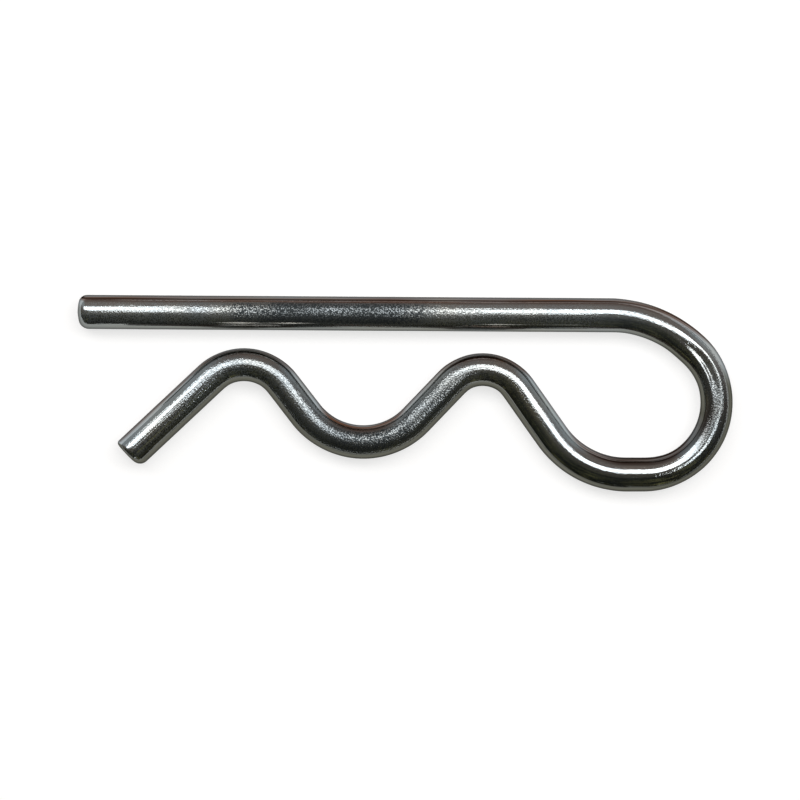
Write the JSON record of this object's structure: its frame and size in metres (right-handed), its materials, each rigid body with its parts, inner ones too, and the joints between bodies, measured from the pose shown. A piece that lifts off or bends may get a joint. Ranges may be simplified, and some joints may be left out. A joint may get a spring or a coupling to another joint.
{
  "type": "hitch clip pin",
  "caption": "Round spring wire bent into a straight shank, an open loop and a wavy leg that grips a cross-drilled shaft.",
  "frame": {"origin": "on the straight shank's axis, opposite the lowest point of the leg's valley, which is where the centre of the held shaft lies along the shank", "axes": "+X along the shank from its free tip to the loop, +Y from the wavy leg towards the shank, +Z normal to the plane of the clip, which lies flat"},
  "size_m": [0.0764, 0.0225, 0.004],
  "materials": {
    "zinc_plated_wire": "bright zinc plate on spring steel wire, fine pebbled grain"
  },
  "bodies": {
    "root": {"clip_wire": "zinc_plated_wire"}
  },
  "joints": []
}
